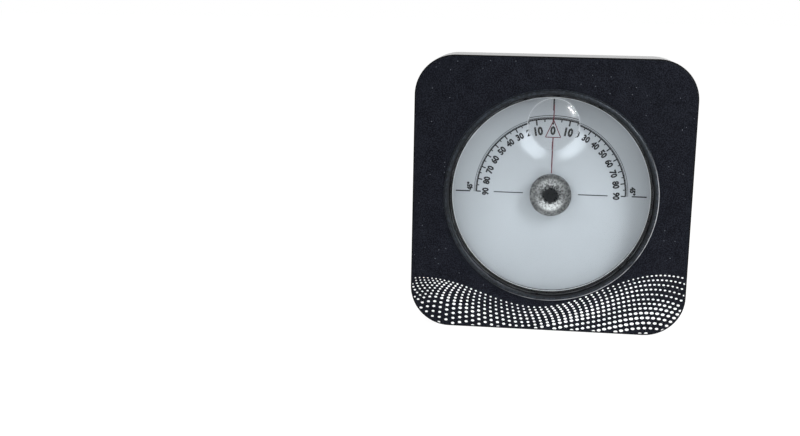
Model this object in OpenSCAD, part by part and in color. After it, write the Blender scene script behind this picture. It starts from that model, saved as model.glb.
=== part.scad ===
// Pocket inclinometer: a square block with a liquid capsule, in which a weighted
// dial hangs on a pointed axle and turns freely.
//
// The block stands on its base. +Z is up, the face looks along -Y and X is to the
// right. The origin is the middle of the base. Inside, the pieces are drawn about
// the dial's axis, with z towards the reader, and on_axis() sets them upright.

/* [Body] */
// Width and height of the square block
body_size = 60; // [58:0.5:68]
// Depth from the front face to the back plate
body_depth = 13.4; // [13:0.2:16]
// Radius of the four corners
corner_r = 8.75; // [8:0.25:10]
// Thickness of the front face
face_skin = 2; // [1.6:0.1:2.2]
// Rounding of the front edge
front_fillet = 0.4; // [0.2:0.05:0.8]
// Width of the round bead that frames the back
rim_w = 1.35; // [1.1:0.05:1.6]
// Distance of the bead's crest below the back plate
rim_drop = 0.1; // [0:0.05:0.3]
// Width of the ledge that the back gasket lies on
ledge_w = 1.6; // [1.3:0.1:2]
// Thickness of the stiffening ribs
rib_t = 1.6; // [1:0.1:2.4]
// Distance that the ribs stop short of the socket's rim
rib_step = 0.5; // [0.2:0.1:1]

/* [Window] */
// Diameter of the round window
window_d = 44; // [40:0.5:45]
// Width of the raised lip round the window
lip_w = 1.1; // [0.8:0.1:1.6]

/* [Capsule] */
// Distance of the lid below the front face
lid_recess = 0.2; // [0:0.05:0.4]
// Thickness of the clear lid
lid_t = 2.2; // [2:0.1:2.6]
// Width of the lid's flange outside the window
flange_w = 1.7; // [1.5:0.1:2.2]
// Thickness of the lid's flange
flange_t = 1.5; // [1.2:0.1:1.8]
// Inward reach of the flange under the lid
skirt_w = 0.5; // [0.3:0.05:0.8]
// Chamfer of the lid's edge and of its boss
lid_chamfer = 0.2; // [0.1:0.05:0.3]
// Wall thickness of the cup
cup_wall = 1.5; // [1.3:0.1:1.7]
// Thickness of the cup's floor
cup_floor = 1.2; // [1:0.1:1.4]
// Width of the seal between lid and cup
seal_w = 0.8; // [0.5:0.05:0.9]
// Height of the seal
seal_h = 0.6; // [0.4:0.05:0.8]
// Diameter of the frosted boss in the middle of the lid
boss_d = 9; // [7:0.5:12]
// Diameter of the boss on the cup's floor
rear_boss_d = 6; // [5:0.5:8]
// Rise of that boss above the floor
rear_boss_h = 1.3; // [1.1:0.1:1.4]
// Wall of the socket that the capsule sits in
socket_wall = 1.2; // [1:0.1:1.5]
// Thickness of the foam pad behind the capsule
cushion_t = 1.2; // [1:0.1:1.4]
// Diameter of the foam pad
cushion_d = 38; // [30:1:42]
// Diameter of the filling hole in the cup
fill_d = 2.4; // [1.6:0.2:3]
// Distance of the filling hole below the dial's axis
fill_drop = 12; // [8:1:15]

/* [Magnifier] */
// Diameter of the magnifier dome
lens_d = 11.2; // [9:0.2:11.6]
// Height of the dome above the lid
lens_h = 1.6; // [1.2:0.1:2.2]
// Distance of the dome's edge from the edge of the lid
lens_edge = 0.6; // [0.3:0.1:2]

/* [Dial] */
// Running room between the hub and the setting in front of it
nose_gap = 0.25; // [0.2:0.05:0.4]
// Running room between the counterweight and the setting behind it
tail_gap = 0.5; // [0.4:0.05:0.7]
// Thickness of the card
card_t = 0.4; // [0.3:0.05:0.5]
// Radial clearance between card and cup
card_clear = 0.4; // [0.3:0.05:0.8]
// Thickness of the counterweight
weight_t = 1.4; // [1:0.1:1.4]
// Margin of the counterweight inside the card's edge
weight_inset = 1.5; // [1:0.5:3]
// Radial width of the counterweight
weight_w = 11; // [8:0.5:13]
// Angle that the counterweight spans
weight_span = 150; // [110:5:170]
// Diameter of the hub's flange in front of the card
hub_flange_d = 4.8; // [4:0.2:6]
// Thickness of the hub's flange
hub_flange_t = 0.25; // [0.15:0.05:0.3]
// Diameter of the hub's neck, which carries card and counterweight
hub_d = 2.6; // [2:0.1:3]
// Diameter of the axle
arbor_d = 1; // [0.8:0.1:1.2]
// Length of the axle's pointed ends
point_l = 0.6; // [0.5:0.05:0.7]

/* [Bearings] */
// Diameter of the settings that hold the jewels
bush_d = 3.7; // [3.2:0.1:4]
// Length of the settings
bush_l = 2; // [1.9:0.05:2.1]
// Bore of the settings
bush_bore = 1.8; // [1.6:0.1:2.2]
// Thickness of the jewels
jewel_t = 0.7; // [0.6:0.05:0.8]
// Depth of the cone in each jewel
jewel_cup = 0.45; // [0.4:0.05:0.5]

/* [Back] */
// Thickness of the back plate
plate_t = 2.4; // [2.2:0.1:2.6]
// Gap between the back plate and the bead
rim_gap = 0.25; // [0.15:0.05:0.4]
// Rounding of the plate's outer edge
plate_fillet = 0.3; // [0.15:0.05:0.5]
// Thickness of the gasket under the plate
gasket_t = 0.6; // [0.4:0.05:0.8]
// Distance of the screws from the sides of the block
screw_inset = 6; // [5.8:0.1:6.6]
// Thread diameter of the screws
screw_d = 2; // [1.6:0.1:2.2]
// Length of the screws under the head
screw_l = 6; // [5:0.5:7]
// Diameter of the screw heads
head_d = 3.8; // [3.4:0.1:4]
// Height of the screw heads
head_h = 0.9; // [0.7:0.05:1]
// Outer diameter of the posts that the screws bite into
post_d = 4.8; // [4:0.1:4.8]
// Diameter of the discs that cover the screws
cover_d = 4.4; // [4.2:0.1:5]
// Thickness of those discs
cover_t = 0.8; // [0.6:0.05:0.9]
// Rounding of the discs' edge
cover_fillet = 0.2; // [0.1:0.05:0.3]
// Gap round each disc
cover_gap = 0.15; // [0.05:0.05:0.2]

/* [Hidden] */

$fn = 96;
eps = 0.01;                 // overshoot of a cut past the face that it opens
slip = 0.02;                // radial clearance of a close fit
fit = 0.1;                  // radial clearance of a loose fit

// Plan of the block, from the middle outwards
half = body_size / 2;
corner_at = half - corner_r;             // centre of each corner arc
wall = rim_w + rim_gap + ledge_w;        // side wall in front of the ledge
plate_edge = corner_r - rim_w - rim_gap; // corner radius of the back plate
screw_at = half - screw_inset;
screw_places = [[-screw_at, screw_at], [screw_at, screw_at],
                [-screw_at, -screw_at], [screw_at, -screw_at]];

// Radii about the dial's axis
window_r = window_d / 2;
lip_trim = 0.1;                          // what the window's bore cuts off the lip
lip_r = lip_w / 2 + lip_trim;
lid_r = window_r - fit;
flange_r = lid_r + flange_w;
cup_r = flange_r - cup_wall;
socket_r = flange_r + fit;
card_r = cup_r - card_clear;
seal_r = flange_r - cup_wall / 2;
weight_r = card_r - weight_inset;
bush_r = bush_d / 2;
lens_r = lens_d / 2;
lens_at = lid_r - lens_edge - lens_r;
lens_ball_r = (lens_r * lens_r + lens_h * lens_h) / (2 * lens_h);
point_r = 0.08;                          // blunt tip of the axle
pit_r = 0.05;                            // bottom of the jewel's cone
pit_inset = 0.1;                         // its mouth is that much smaller than the axle
pit_mouth_r = arbor_d / 2 - pit_inset;

// Heights along the dial's axis, from the middle of the block's depth
z_face = body_depth / 2;
z_back = -body_depth / 2;
z_skin = z_face - face_skin;
z_rim = z_back + rim_drop + rim_w / 2;   // centre of the bead
z_plate = z_back + plate_t;              // inner side of the back plate
z_ledge = z_plate + gasket_t;
z_cover = z_back + cover_t;
z_head = z_cover + head_h;
z_lid = z_face - lid_recess;
z_under = z_lid - lid_t;                 // underside of the lid
z_flange = z_skin - flange_t;
bush_proud = 0.1;                        // settings stand out of their bosses
bush_end = 0.5;                          // closed end of each setting
pivot_depth = 0.35;                      // reach of the axle into each jewel
z_cup = z_plate + cushion_t;             // outside of the cup's floor
z_floor = z_cup + cup_floor;
z_rear_boss = z_floor + rear_boss_h;
z_rear_mouth = z_rear_boss + bush_proud;
z_tail = z_rear_mouth + tail_gap;        // the dial is stacked up from the rear
z_weight = z_tail + weight_t;
z_card = z_weight + card_t;
z_front_mouth = z_card + hub_flange_t + nose_gap;
z_boss = z_front_mouth + bush_proud;     // the lid's boss reaches down to the hub
jewel_depth = bush_l - bush_end - jewel_t;
z_front_tip = z_front_mouth + jewel_depth + pivot_depth;
z_rear_tip = z_rear_mouth - jewel_depth - pivot_depth;

// ---------------------------------------------------------------- helpers

// Sets what is drawn about the dial's axis upright in the block
module on_axis() {
    translate([0, 0, half]) rotate([90, 0, 0]) children();
}

// Square outline with round corners, side length 2 * (corner_at + r)
module round_square(r) {
    square([2 * corner_at, 2 * (corner_at + r)], center = true);
    square([2 * (corner_at + r), 2 * corner_at], center = true);
    for (x = [-1, 1], y = [-1, 1])
        translate([x * corner_at, y * corner_at]) circle(r);
}

// Carries a wall section round the block. The section's x runs outwards from the
// line through the corner centres, and its y is the height along the axis.
module round_the_block() {
    for (turn = [0:90:270]) rotate([0, 0, turn]) {
        translate([corner_at, corner_at, 0]) rotate_extrude(angle = 90) children();
        translate([corner_at, corner_at, 0]) rotate([90, 0, 0])
            linear_extrude(2 * corner_at) children();
    }
}

// Rectangle from low to high whose outer edge is rounded at its top or its bottom
module edge_section(low, high, outer, inner, top_r = 0, bottom_r = 0) {
    r = max(top_r, bottom_r);
    at = top_r > 0 ? high - r : low + r;
    translate([inner, low]) square([outer - r - inner, high - low]);
    translate([inner, low + bottom_r])
        square([outer - inner, high - low - top_r - bottom_r]);
    translate([outer - r, at]) circle(r);
}

// Ring or disc about the axis
module ring(outer, low, high, inner = 0) {
    translate([0, 0, low]) difference() {
        cylinder(h = high - low, r = outer);
        if (inner > 0) translate([0, 0, -eps]) cylinder(h = high - low + 2 * eps, r = inner);
    }
}

// ---------------------------------------------------------------- the block

// Section of the side wall with its share of the front face and the back bead
module wall_section() {
    edge_section(z_skin, z_face, corner_r, 0, top_r = front_fillet);
    translate([corner_r - wall, z_ledge]) square([wall, z_skin - z_ledge + eps]);
    translate([corner_r - rim_w, z_rim]) square([rim_w, z_ledge - z_rim + eps]);
    translate([corner_r - rim_w / 2, z_rim]) circle(rim_w / 2);
}

// Black shell: face, side walls, lip of the window, socket, ribs and screw posts
module housing() {
    rib_start = socket_r + socket_wall / 2;
    side_rib_l = half - wall + eps - rib_start;
    post_rib_l = norm([screw_at, screw_at]) - rib_start;
    rib_h = z_skin + eps - z_cup - rib_step;
    color([0.10, 0.11, 0.13]) on_axis() difference() {
        union() {
            round_the_block() wall_section();
            translate([0, 0, z_skin]) linear_extrude(face_skin)
                square(2 * corner_at, center = true);
            rotate_extrude() translate([window_r + lip_w - lip_r, z_face]) circle(lip_r);
            ring(socket_r + socket_wall, z_cup, z_skin + eps, socket_r);
            for (turn = [0:45:315]) rotate([0, 0, turn])
                translate([rib_start, -rib_t / 2, z_cup + rib_step])
                    cube([turn % 90 == 0 ? side_rib_l : post_rib_l, rib_t, rib_h]);
            for (p = screw_places) translate(p)
                ring(post_d / 2, z_plate, z_skin + eps);
        }
        ring(window_r, z_skin - eps, z_face + lip_w);
        for (p = screw_places) translate(p)
            ring(screw_d / 2 + slip, z_plate - eps, z_head + screw_l + fit);
    }
}

// Inset plate that closes the back, with a stepped hole for each screw and its disc
module back_plate() {
    color([0.15, 0.17, 0.20]) on_axis() difference() {
        union() {
            round_the_block()
                edge_section(z_back, z_plate, plate_edge, 0, bottom_r = plate_fillet);
            translate([0, 0, z_back]) linear_extrude(plate_t)
                square(2 * corner_at, center = true);
        }
        for (p = screw_places) translate(p) {
            ring(cover_d / 2 + cover_gap, z_back - eps, z_cover);
            ring(head_d / 2 + fit, z_cover - eps, z_head);
            ring(screw_d / 2 + fit, z_head - eps, z_plate + eps);
        }
    }
}

// Flat gasket on the ledge, cut away round the screw posts
module back_gasket() {
    color([0.20, 0.20, 0.20]) on_axis() translate([0, 0, z_plate]) linear_extrude(gasket_t)
        difference() {
            round_square(plate_edge);
            round_square(corner_r - wall + fit);
            for (p = screw_places) translate(p) circle(post_d / 2 + fit);
        }
}

// Four cross-head screws, which hold the back plate to the posts
module back_screws() {
    slot_w = head_d / 7;
    slot_l = 0.65 * head_d;
    tip_l = screw_d / 2;
    color([0.62, 0.63, 0.65]) on_axis() for (p = screw_places) translate(p) difference() {
        union() {
            ring(head_d / 2, z_cover, z_head);
            ring(screw_d / 2, z_head - eps, z_head + screw_l - tip_l);
            translate([0, 0, z_head + screw_l - tip_l])
                cylinder(h = tip_l, r1 = screw_d / 2, r2 = screw_d / 8);
        }
        for (turn = [0, 90]) rotate([0, 0, turn])
            translate([-slot_l / 2, -slot_w / 2, z_cover - eps])
                cube([slot_l, slot_w, head_h / 2]);
    }
}

// Press-in disc over one screw, counted from 1
module screw_cover(which) {
    color([0.06, 0.06, 0.07]) on_axis() translate(screw_places[which - 1])
        rotate_extrude()
            edge_section(z_back, z_cover, cover_d / 2, 0, bottom_r = cover_fillet);
}

// ---------------------------------------------------------------- the capsule

// Clear window in one piece with its flange, the magnifier dome and the boss
module capsule_lid() {
    color([0.80, 0.86, 0.90, 0.35]) on_axis() difference() {
        union() {
            rotate_extrude() polygon([
                [0, z_under], [lid_r, z_under], [lid_r, z_lid - lid_chamfer],
                [lid_r - lid_chamfer, z_lid], [0, z_lid]
            ]);
            ring(flange_r, z_flange, z_skin, lid_r - skirt_w);
            rotate_extrude() polygon([
                [0, z_boss], [boss_d / 2 - lid_chamfer, z_boss],
                [boss_d / 2, z_boss + lid_chamfer], [boss_d / 2, z_under + eps],
                [0, z_under + eps]
            ]);
            translate([0, lens_at, z_lid]) intersection() {
                translate([0, 0, lens_h - lens_ball_r]) sphere(lens_ball_r);
                translate([0, 0, -eps]) cylinder(h = lens_h + 2 * eps, r = lens_r + lid_chamfer);
            }
        }
        ring(bush_r + slip, z_boss - eps, z_front_mouth + bush_l);
    }
}

// Cup with the groove for the seal, the rear boss and the stepped filling hole
module capsule_cup() {
    color([0.86, 0.88, 0.90]) on_axis() difference() {
        union() {
            ring(flange_r, z_cup, z_floor);
            ring(flange_r, z_floor - eps, z_flange, cup_r);
            ring(rear_boss_d / 2, z_floor - eps, z_rear_boss);
        }
        ring(seal_r + seal_w / 2, z_flange - seal_h, z_flange + eps, seal_r - seal_w / 2);
        ring(bush_r + slip, z_rear_mouth - bush_l, z_rear_boss + eps);
        translate([0, -fill_drop, 0]) {
            ring(fill_d / 2, z_cup - eps, z_floor + eps);
            ring(0.75 * fill_d, z_cup - eps, z_cup + cup_floor / 2);
        }
    }
}

// Rubber ring between the lid's flange and the cup
module capsule_seal() {
    color([0.12, 0.12, 0.12]) on_axis()
        ring(seal_r + seal_w / 2 - slip, z_flange - seal_h, z_flange,
             seal_r - seal_w / 2 + slip);
}

// Stepped plug that closes the filling hole
module fill_plug() {
    color([0.75, 0.76, 0.78]) on_axis() translate([0, -fill_drop, 0]) {
        ring(fill_d / 2 - slip, z_cup + cup_floor / 2 - eps, z_floor);
        ring(0.75 * fill_d - slip, z_cup, z_cup + cup_floor / 2);
    }
}

// Foam pad that presses the capsule against the front face
module capsule_cushion() {
    color([0.30, 0.31, 0.33]) on_axis() ring(cushion_d / 2, z_plate, z_cup);
}

// ---------------------------------------------------------------- the bearings

// Setting with its open mouth at height 0 and its closed end at bush_l
module bush() {
    difference() {
        ring(bush_r, 0, bush_l);
        ring(bush_bore / 2, -eps, bush_l - bush_end);
    }
}

// Jewel with its conical pit, in a setting whose mouth is at height 0
module jewel() {
    difference() {
        ring(bush_bore / 2 - slip, jewel_depth, jewel_depth + jewel_t);
        translate([0, 0, jewel_depth - eps])
            cylinder(h = jewel_cup + eps, r1 = pit_mouth_r, r2 = pit_r);
    }
}

// Sets a bearing piece in the lid's boss, or in the cup's when rear is true
module in_boss(rear) {
    on_axis() {
        if (rear) translate([0, 0, z_rear_mouth]) mirror([0, 0, 1]) children();
        else translate([0, 0, z_front_mouth]) children();
    }
}

// Dark setting in the middle of the lid's boss
module front_bush() {
    color([0.09, 0.09, 0.09]) in_boss(false) bush();
}

// Front bearing of the axle
module front_jewel() {
    color([0.70, 0.10, 0.20]) in_boss(false) jewel();
}

// Setting in the cup's floor
module rear_bush() {
    color([0.09, 0.09, 0.09]) in_boss(true) bush();
}

// Rear bearing of the axle
module rear_jewel() {
    color([0.70, 0.10, 0.20]) in_boss(true) jewel();
}

// ---------------------------------------------------------------- the dial

// Steel axle with a pointed end in each jewel
module arbor() {
    color([0.72, 0.73, 0.75]) on_axis() {
        ring(arbor_d / 2, z_rear_tip + point_l, z_front_tip - point_l);
        translate([0, 0, z_front_tip - point_l])
            cylinder(h = point_l, r1 = arbor_d / 2, r2 = point_r);
        translate([0, 0, z_rear_tip])
            cylinder(h = point_l, r1 = point_r, r2 = arbor_d / 2);
    }
}

// Collar on the axle: its flange holds the card, its neck the card and the weight
module dial_hub() {
    color([0.80, 0.66, 0.35]) on_axis() difference() {
        union() {
            ring(hub_flange_d / 2, z_card, z_card + hub_flange_t);
            ring(hub_d / 2, z_tail, z_card + eps);
        }
        ring(arbor_d / 2 + slip, z_tail - eps, z_card + hub_flange_t + eps);
    }
}

// Round card that carries the degree scale
module dial_card() {
    color([0.76, 0.79, 0.82]) on_axis() ring(card_r, z_weight, z_card, hub_d / 2 + slip);
}

// Outline that takes in all below the axis within the given span
module lower_sector(span, reach) {
    side = reach * sin(span / 2);
    polygon([
        [0, 0], [side, -reach * cos(span / 2)], [side, -reach],
        [-side, -reach], [-side, -reach * cos(span / 2)]
    ]);
}

// Brass weight behind the lower half of the card
module counterweight() {
    arm_w = 2 * hub_d;
    color([0.78, 0.62, 0.30]) on_axis() translate([0, 0, z_tail]) linear_extrude(weight_t)
        difference() {
            union() {
                difference() {
                    intersection() {
                        circle(weight_r);
                        lower_sector(weight_span, 2 * weight_r);
                    }
                    circle(weight_r - weight_w);
                }
                circle(arm_w / 2);
                translate([-arm_w / 2, -weight_r + weight_w / 2])
                    square([arm_w, weight_r - weight_w / 2]);
            }
            circle(hub_d / 2 + slip);
        }
}

housing();
back_plate();
back_gasket();
back_screws();
screw_cover(1);  // screw_cover_1
screw_cover(2);  // screw_cover_2
screw_cover(3);  // screw_cover_3
screw_cover(4);  // screw_cover_4
capsule_lid();
capsule_cup();
capsule_seal();
fill_plug();
capsule_cushion();
front_bush();
front_jewel();
rear_bush();
rear_jewel();
arbor();
dial_hub();
dial_card();
counterweight();
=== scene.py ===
"""Looks of a pocket inclinometer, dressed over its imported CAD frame.

Millimetres are used for every size here and turned into metres where meshes are made. The block
stands on its base with its face towards -Y, so X is to the right and Z is up as it is seen.
"""

from __future__ import annotations

import logging
import math
from dataclasses import dataclass
from enum import Enum
from functools import cache, partialmethod

import bmesh
import bpy
from mathutils import Matrix, Vector

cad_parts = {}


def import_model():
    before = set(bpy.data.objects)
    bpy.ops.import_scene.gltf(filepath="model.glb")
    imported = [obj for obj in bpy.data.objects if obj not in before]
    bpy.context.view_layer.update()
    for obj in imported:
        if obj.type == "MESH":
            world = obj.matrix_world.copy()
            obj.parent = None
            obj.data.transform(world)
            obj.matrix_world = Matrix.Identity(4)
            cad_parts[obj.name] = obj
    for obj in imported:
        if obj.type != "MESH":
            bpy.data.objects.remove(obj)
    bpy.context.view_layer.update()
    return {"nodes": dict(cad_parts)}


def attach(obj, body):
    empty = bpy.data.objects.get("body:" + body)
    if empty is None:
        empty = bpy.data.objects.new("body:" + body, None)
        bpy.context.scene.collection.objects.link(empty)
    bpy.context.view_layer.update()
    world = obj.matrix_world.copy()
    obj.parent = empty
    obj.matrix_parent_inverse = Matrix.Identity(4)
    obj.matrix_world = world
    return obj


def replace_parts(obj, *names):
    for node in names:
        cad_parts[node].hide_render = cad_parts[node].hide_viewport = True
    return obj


MM = 0.001
FIGURE_SHARE = 0.729  # height of the font's figures as a share of its size
LOG = logging.getLogger("inclinometer")
Colour = tuple[float, float, float]
Pair = tuple[float, float]  # a point on a plane, two limits or two sizes
Triple = tuple[float, float, float]
# Roughness of a grain's hollows and what its tips add, plain reflection, depth and strength of relief
Gloss = tuple[Pair, float, Pair | None]
Socket = bpy.types.NodeSocket
Thing = bpy.types.Object
WHITE: Colour = (1.0, 1.0, 1.0)


class Facing(Enum):
    """Which way a printed surface looks."""

    FRONT = "front"
    BACK = "back"


class Body(Enum):
    """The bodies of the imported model."""

    CASE = "case"
    DIAL = "dial"


# Shader helpers


class Flow:
    """A number that runs through a shader, on which Python's operators work."""

    def __init__(self, shader: Shader, socket: Socket) -> None:
        """Wraps an output socket that carries a number in a shader's node tree."""
        self.shader = shader
        self.socket = socket

    def math(self, operation: str, *others: Flow | float) -> Flow:
        """Returns the result of a new Math node whose first input is this number."""
        return self.shader.math(operation, self, *others)

    __add__ = __radd__ = partialmethod(math, "ADD")
    __sub__ = partialmethod(math, "SUBTRACT")
    __mul__ = __rmul__ = partialmethod(math, "MULTIPLY")
    __truediv__ = partialmethod(math, "DIVIDE")
    __pow__ = partialmethod(math, "POWER")

    def __rsub__(self, other: float) -> Flow:
        """Returns other - self."""
        return self.shader.math("SUBTRACT", other, self)

    def above(self, low: float, high: float) -> Flow:
        """Masks what lies above.

        Args:
            low: The number up to which the mask is 0.
            high: The number from which it is 1.

        Returns:
            The smooth mask.
        """
        limits = {"Value": self, "From Min": low, "From Max": high}
        made = self.shader.node("MapRange", limits, interpolation_type="SMOOTHSTEP")
        return Flow(self.shader, made.outputs["Result"])

    def below(self, low: float, high: float) -> Flow:
        """Returns a smooth mask, 1 below low and 0 above high."""
        return 1.0 - self.above(low, high)

    def band(self, rise: Pair, fall: Pair) -> Flow:
        """Returns a smooth mask, 1 between the limits over which it rises and those over which it falls."""
        return self.above(*rise) * self.below(*fall)

    def limited(self) -> Flow:
        """Returns the number kept between 0 and 1."""
        return self.math("MINIMUM", 1.0).math("MAXIMUM", 0.0)


class Shader:
    """A material's or the world's node tree under construction."""

    def __init__(self, holder: bpy.types.Material | bpy.types.World) -> None:
        """Empties the node tree of a new material or world.

        Args:
            holder: The material or the world.
        """
        holder.use_nodes = True
        self.tree = holder.node_tree
        self.tree.nodes.clear()

    def node(self, kind: str, values: dict | None = None, **settings: str) -> bpy.types.Node:
        """Adds any node.

        Args:
            kind: The node's type without the ShaderNode in front of it.
            values: Values or links of its input sockets, by name or number.
            settings: Its own settings, which are set first.

        Returns:
            The new node.
        """
        made = self.tree.nodes.new(f"ShaderNode{kind}")
        for name, value in settings.items():
            setattr(made, name, value)
        for name, value in (values or {}).items():
            socket = made.inputs[name]
            if isinstance(value, Flow):
                value = value.socket
            if isinstance(value, Socket):
                self.tree.links.new(value, socket)
            elif isinstance(value, tuple) and len(value) == 3 and socket.type == "RGBA":
                socket.default_value = (*value, 1.0)
            else:
                socket.default_value = value
        return made

    def math(self, operation: str, *terms: Flow | float) -> Flow:
        """Returns the result of a new Math node, whose inputs are the terms in order."""
        made = self.node("Math", dict(enumerate(terms)), operation=operation)
        return Flow(self, made.outputs[0])

    def spot(self) -> Socket:
        """Returns the place on the piece in metres, which stays with the piece when it moves."""
        return self.node("TexCoord").outputs["Object"]

    def place(self) -> tuple[Flow, Flow, Flow]:
        """Measures the place on the piece.

        Returns:
            Its X, Y and Z in millimetres.
        """
        scaled = self.node("VectorMath", {0: self.spot(), "Scale": 1 / MM}, operation="SCALE")
        split = self.node("SeparateXYZ", {0: scaled.outputs[0]})
        return tuple(Flow(self, out) for out in split.outputs)

    def about(self, axis: Pair, least: float = 0.1) -> tuple[Flow, Flow, Flow, Flow]:
        """Measures from an axis that runs along Y.

        Args:
            axis: The axis's X and Z.
            least: The smallest radius that is given, so that it can be divided by.

        Returns:
            The distance to its right, Y, the height over it and the radius, in millimetres.
        """
        x, y, z = self.place()
        side, up = x - axis[0], z - axis[1]
        return side, y, up, ((side * side + up * up) ** 0.5).math("MAXIMUM", least)

    def noise(self, per_mm: float, detail: float, stretch: Triple = (1, 1, 1)) -> Flow:
        """Returns fractal noise fixed to the piece: grains in a millimetre, octaves, scale along X, Y, Z."""
        mapped = self.node("Mapping", {"Vector": self.spot(), "Scale": stretch})
        return self.fractal(mapped.outputs[0], per_mm / MM, detail)

    def fractal(self, spot: Socket, scale: float, detail: float) -> Flow:
        """Returns fractal noise at a place that is given in units of its own."""
        made = self.node("TexNoise", {"Vector": spot, "Scale": scale, "Detail": detail})
        return Flow(self, made.outputs[0])

    def specks(self, per_mm: float, share: float, chosen: Pair = (0.86, 0.9)) -> Flow:
        """Adds sparse round specks.

        Args:
            per_mm: Number of cells in a millimetre.
            share: Size of a speck as a share of its cell.
            chosen: Limits over which a cell's random number makes its speck show.

        Returns:
            A mask of the specks.
        """
        cells = self.node("TexVoronoi", {"Vector": self.spot(), "Scale": per_mm / MM})
        near = Flow(self, cells.outputs["Distance"]).below(share * 0.5, share)
        pick = self.node("SeparateColor", {0: cells.outputs["Color"]})
        return near * Flow(self, pick.outputs[0]).above(*chosen)

    def blend(self, mask: Flow, low: Colour | Socket, high: Colour | Socket) -> Socket:
        """Returns a mix of two colours or their sockets, of which a mask of 1 gives the second."""
        made = self.node("Mix", {0: mask, 6: low, 7: high}, data_type="RGBA")
        return made.outputs[2]

    def bump(self, height: Flow, depth: float, strength: float) -> Socket:
        """Returns the normal of a height from 0 to 1, of which 1 stands for a depth in millimetres."""
        made = self.node("Bump", {"Height": height, "Distance": depth * MM, "Strength": strength})
        return made.outputs[0]

    def principled(self, **values: object) -> Socket:
        """Returns a Principled shader, whose inputs are named with underscores for blanks."""
        named = {name.replace("_", " "): value for name, value in values.items()}
        return self.node("BsdfPrincipled", named).outputs[0]

    def grained(self, tone: Socket, grain: Flow, gloss: Gloss, **more: object) -> Socket:
        """Adds a Principled shader whose roughness and relief follow a grain.

        Args:
            tone: Its colour.
            grain: The grain.
            gloss: What the grain does to it.
            more: Its other inputs.

        Returns:
            The shader's socket.
        """
        rough, specular, relief = gloss
        if relief:
            more["Normal"] = self.bump(grain, *relief)
        roughness = rough[0] + rough[1] * grain
        return self.principled(Base_Color=tone, Roughness=roughness, Specular_IOR_Level=specular, **more)

    def either(self, mask: Flow, low: Socket, high: Socket) -> Socket:
        """Returns a mix of two shaders, of which a mask of 1 gives the second."""
        return self.node("MixShader", {0: mask, 1: low, 2: high}).outputs[0]

    def rays(self, *kinds: str) -> Flow:
        """Masks the rays of some kinds.

        Args:
            kinds: The kinds, such as "Camera" or "Shadow".

        Returns:
            The mask.
        """
        path = self.node("LightPath")
        first, *others = (Flow(self, path.outputs[f"Is {kind} Ray"]) for kind in kinds)
        for other in others:
            first = first.math("MAXIMUM", other)
        return first

    def seen(self) -> Flow:
        """Returns a mask of what is seen straight, in a mirror or through something clear."""
        return self.rays("Camera", "Glossy", "Transmission")


# Finishes


@dataclass(frozen=True)
class Finish:
    """A finish that can be put on pieces."""

    name: str

    def surface(self, shader: Shader) -> Socket:
        """Builds the finish in a shader and returns its surface."""
        raise NotImplementedError

    @cache
    def material(self) -> bpy.types.Material:
        """Makes the finish's material, once.

        Returns:
            The material.
        """
        made = bpy.data.materials.new(f"finish_{self.name}")
        shader = Shader(made)
        shader.node("OutputMaterial", {"Surface": self.surface(shader)})
        return made

    def on(self, piece: Thing) -> Thing:
        """Puts the finish on a piece.

        Args:
            piece: A CAD node or a new piece.

        Returns:
            The piece.
        """
        if not piece.data.materials:
            piece.data.materials.append(self.material())
        for place in piece.material_slots:
            place.material = self.material()
        return piece


@dataclass(frozen=True)
class Grained(Finish):
    """A surface whose tone, gloss and relief follow one grain.

    Attributes:
        low: Tone of the grain's hollows.
        high: Tone of its tips.
        rough: The roughness of the hollows, and what the tips add.
        specular: Strength of the plain reflection.
        grain: Grains in a millimetre and octaves of finer grain.
        cloud: The same of a coarser noise in the tone, and its share of it.
        shows: Limits over which the tone goes from low to high, or None for the noise itself.
        relief: Depth in millimetres and strength of the relief, or None where it is flat.
        metallic: Whether it is metal.
        coat: Weight of a clear coat.
        stretch: Scale of the grain along X, Y and Z.
    """

    low: Colour
    high: Colour
    rough: Pair
    specular: float = 0.5
    grain: Pair = (3.0, 3.0)
    cloud: Triple | None = None
    shows: Pair | None = (0.3, 0.7)
    relief: Pair | None = (0.02, 0.6)
    metallic: float = 0.0
    coat: float = 0.0
    stretch: Triple = (1, 1, 1)

    def tone(self, shader: Shader, mask: Flow) -> Socket:
        """Returns the colour where a mask of the grain is high or low."""
        return shader.blend(mask, self.low, self.high)

    def surface(self, shader: Shader) -> Socket:
        """Builds the grain.

        Args:
            shader: The material's shader.

        Returns:
            The surface.
        """
        grain = shader.noise(*self.grain, self.stretch)
        mask = grain
        if self.cloud:
            *coarse, share = self.cloud
            mask = grain * (1.0 - share) + shader.noise(*coarse) * share
        if self.shows:
            mask = mask.above(*self.shows)
        gloss = (self.rough, self.specular, self.relief)
        tone = self.tone(shader, mask)
        return shader.grained(tone, grain, gloss, Metallic=self.metallic, Coat_Weight=self.coat)


@dataclass(frozen=True)
class CupPlastic(Grained):
    """Pale moulded plastic of the cup, with a dark band of painted shade round its mouth."""

    # Painted shade: the dark band round the cup's mouth, and where it ends.
    band: Colour = (0.006, 0.007, 0.008)
    band_y: Pair = (0.2, 0.4)

    def tone(self, shader: Shader, mask: Flow) -> Socket:
        """Returns the grain's tone under a dark band of painted shade."""
        return shader.blend(shader.place()[1].below(*self.band_y), super().tone(shader, mask), self.band)


@dataclass(frozen=True)
class LensEdge(Grained):
    """Root of the magnifier, coloured pale as a painted highlight that is stronger on the upper part."""

    lit_z: Pair = (41.5, 46.5)
    cloudy: float = 0.2

    def tone(self, shader: Shader, mask: Flow) -> Socket:
        """Returns the painted highlight's tone, which pales upwards, a little clouded by the grain."""
        lit = shader.place()[2].above(*self.lit_z) + self.cloudy * mask - self.cloudy / 2
        return super().tone(shader, lit.limited())


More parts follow.
